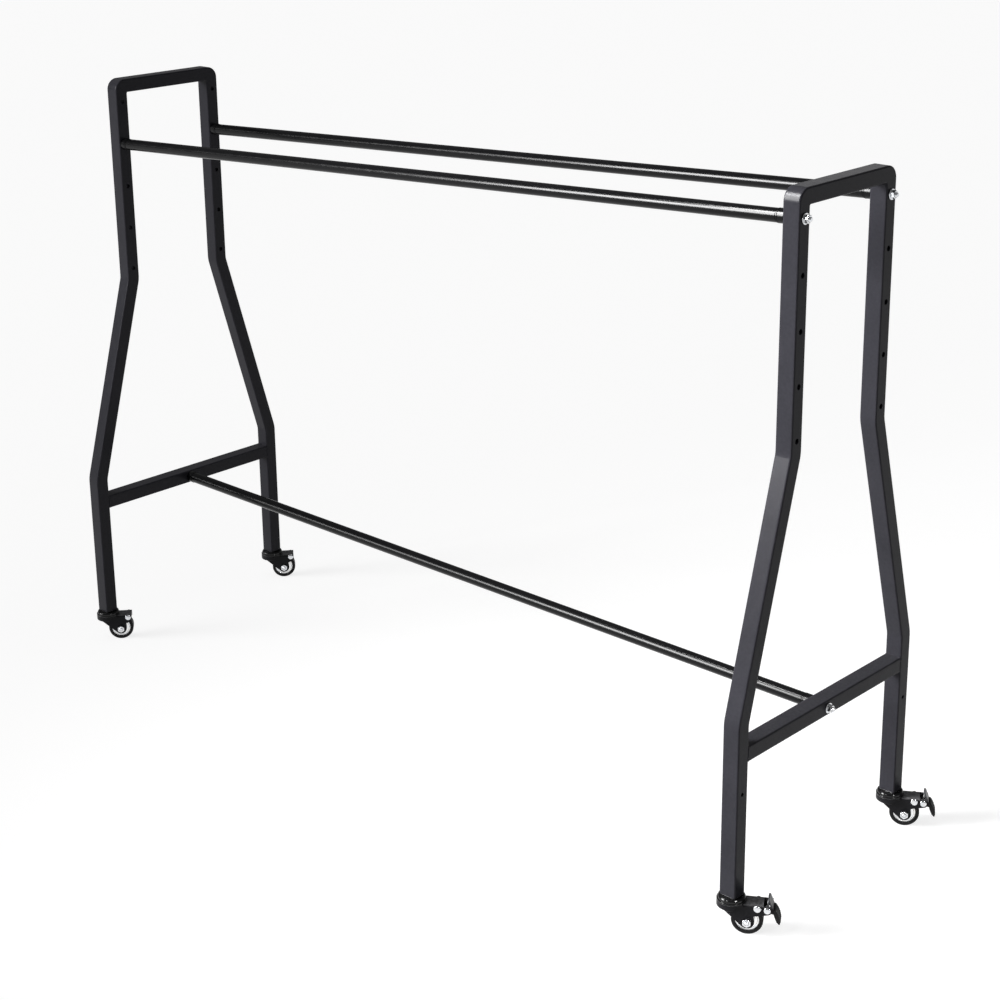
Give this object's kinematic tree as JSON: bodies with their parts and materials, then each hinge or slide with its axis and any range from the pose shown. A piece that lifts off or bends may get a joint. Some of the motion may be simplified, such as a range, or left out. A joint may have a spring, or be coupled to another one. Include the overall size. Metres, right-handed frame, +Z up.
{
  "type": "ball cart",
  "caption": "Long wheeled rack for sports balls: bent tube end frames, two upper rails, a lower rail, swivel casters with brakes at one end.",
  "frame": {"origin": "on the floor, under the middle of the whole cart's outline", "axes": "+X along the cart from the plain casters' end to the braked end, +Y to the rear side, +Z up"},
  "size_m": [1.432, 0.4344, 0.965],
  "materials": {
    "frame_paint": "satin slate-black powder coat",
    "rail_paint": "semi-gloss black powder coat",
    "fork_paint": "satin dark grey coat on pressed steel",
    "pedal_steel": "satin dark coat with a black foot pad",
    "zinc": "bright zinc plate",
    "hub": "bright plated pressed disc",
    "tyre": "smooth black rubber",
    "plug_plastic": "moulded black nylon"
  },
  "bodies": {
    "frame": {"left_hoop": "frame_paint", "left_cross_tube": "frame_paint", "leg_plug_front_left": "plug_plastic", "caster_stem_front_left": "fork_paint", "bearing_ring_front_left": "zinc", "leg_plug_rear_left": "plug_plastic", "caster_stem_rear_left": "fork_paint", "bearing_ring_rear_left": "zinc", "right_hoop": "frame_paint", "right_cross_tube": "frame_paint", "leg_plug_front_right": "plug_plastic", "caster_stem_front_right": "fork_paint", "bearing_ring_front_right": "zinc", "leg_plug_rear_right": "plug_plastic", "caster_stem_rear_right": "fork_paint", "bearing_ring_rear_right": "zinc", "front_rail": "rail_paint", "front_rail_stud_left": "zinc", "front_rail_nut_left": "zinc", "front_rail_stud_right": "zinc", "front_rail_nut_right": "zinc", "rear_rail": "rail_paint", "rear_rail_stud_left": "zinc", "rear_rail_nut_left": "zinc", "rear_rail_stud_right": "zinc", "rear_rail_nut_right": "zinc", "lower_rail": "rail_paint", "lower_rail_stud_left": "zinc", "lower_rail_nut_left": "zinc", "lower_rail_stud_right": "zinc", "lower_rail_nut_right": "zinc"},
    "swivel_front_left": {"fork_front_left": "fork_paint", "fork_rivet_front_left": "zinc", "axle_bolt_front_left": "zinc", "axle_nut_front_left": "zinc"},
    "wheel_front_left": {"tyre_front_left": "tyre", "hub_front_left": "hub"},
    "swivel_rear_left": {"fork_rear_left": "fork_paint", "fork_rivet_rear_left": "zinc", "axle_bolt_rear_left": "zinc", "axle_nut_rear_left": "zinc"},
    "wheel_rear_left": {"tyre_rear_left": "tyre", "hub_rear_left": "hub"},
    "swivel_front_right": {"fork_front_right": "fork_paint", "fork_rivet_front_right": "zinc", "axle_bolt_front_right": "zinc", "axle_nut_front_right": "zinc", "brake_pin_front_right": "zinc"},
    "wheel_front_right": {"tyre_front_right": "tyre", "hub_front_right": "hub"},
    "pedal_front_right": {"brake_pedal_front_right": "pedal_steel"},
    "swivel_rear_right": {"fork_rear_right": "fork_paint", "fork_rivet_rear_right": "zinc", "axle_bolt_rear_right": "zinc", "axle_nut_rear_right": "zinc", "brake_pin_rear_right": "zinc"},
    "wheel_rear_right": {"tyre_rear_right": "tyre", "hub_rear_right": "hub"},
    "pedal_rear_right": {"brake_pedal_rear_right": "pedal_steel"}
  },
  "joints": [
    {"name": "swivel_turn_front_left", "type": "hinge", "parent": "frame", "child": "swivel_front_left", "pos_m": [-0.6936, -0.19749, 0.0467], "axis": [0, 0, 1], "continuous": true},
    {"name": "wheel_spin_front_left", "type": "hinge", "parent": "swivel_front_left", "child": "wheel_front_left", "pos_m": [-0.6801, -0.1814, 0.021], "axis": [-0.766, 0.6428, 0], "continuous": true},
    {"name": "swivel_turn_rear_left", "type": "hinge", "parent": "frame", "child": "swivel_rear_left", "pos_m": [-0.6936, 0.17451, 0.0467], "axis": [0, 0, 1], "continuous": true},
    {"name": "wheel_spin_rear_left", "type": "hinge", "parent": "swivel_rear_left", "child": "wheel_rear_left", "pos_m": [-0.6801, 0.1906, 0.021], "axis": [-0.766, 0.6428, 0], "continuous": true},
    {"name": "swivel_turn_front_right", "type": "hinge", "parent": "frame", "child": "swivel_front_right", "pos_m": [0.6564, -0.19749, 0.0467], "axis": [0, 0, 1], "continuous": true},
    {"name": "wheel_spin_front_right", "type": "hinge", "parent": "swivel_front_right", "child": "wheel_front_right", "pos_m": [0.67421, -0.18636, 0.021], "axis": [-0.5299, 0.848, 0], "continuous": true},
    {"name": "brake_press_front_right", "type": "hinge", "parent": "swivel_front_right", "child": "pedal_front_right", "pos_m": [0.69609, -0.17269, 0.0397], "axis": [-0.5299, 0.848, 0], "range_deg": [0, 18]},
    {"name": "swivel_turn_rear_right", "type": "hinge", "parent": "frame", "child": "swivel_rear_right", "pos_m": [0.6564, 0.17451, 0.0467], "axis": [0, 0, 1], "continuous": true},
    {"name": "wheel_spin_rear_right", "type": "hinge", "parent": "swivel_rear_right", "child": "wheel_rear_right", "pos_m": [0.67421, 0.18564, 0.021], "axis": [-0.5299, 0.848, 0], "continuous": true},
    {"name": "brake_press_rear_right", "type": "hinge", "parent": "swivel_rear_right", "child": "pedal_rear_right", "pos_m": [0.69609, 0.19931, 0.0397], "axis": [-0.5299, 0.848, 0], "range_deg": [0, 18]}
  ]
}
